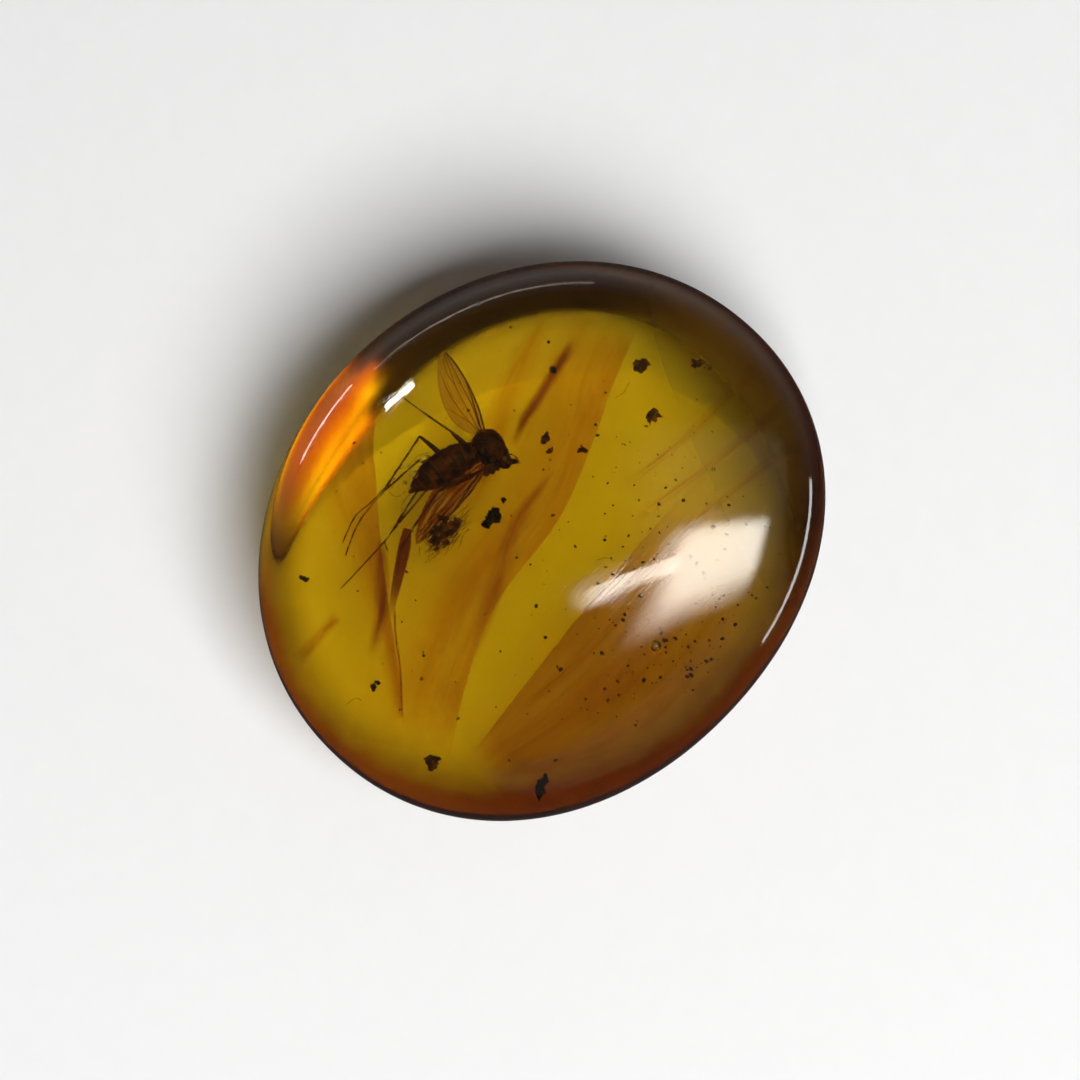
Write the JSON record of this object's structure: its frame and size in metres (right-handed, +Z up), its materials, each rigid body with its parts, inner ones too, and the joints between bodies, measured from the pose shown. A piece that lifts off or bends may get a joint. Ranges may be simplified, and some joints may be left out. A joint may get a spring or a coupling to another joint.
{
  "type": "insect in amber",
  "caption": "Polished clear amber pebble, oval and domed with a flat base, holding a small winged fly, its legs spread, with flow layers and specks.",
  "frame": {"origin": "on the surface that the pebble lies on, under the middle of its bounding box", "axes": "+X along the long axis of the oval plan, +Y across it, +Z up from the flat base to the top of the dome"},
  "size_m": [0.022, 0.019, 0.008],
  "materials": {
    "amber": "polished clear golden amber, IOR 1.54, light absorbed by colour with depth",
    "inclusion": "dark brown insect cuticle and plant debris sealed in the amber",
    "membrane": "thin see-through brown film: wings and the resin flow layers"
  },
  "bodies": {
    "root": {"amber": "amber"}
  },
  "joints": []
}
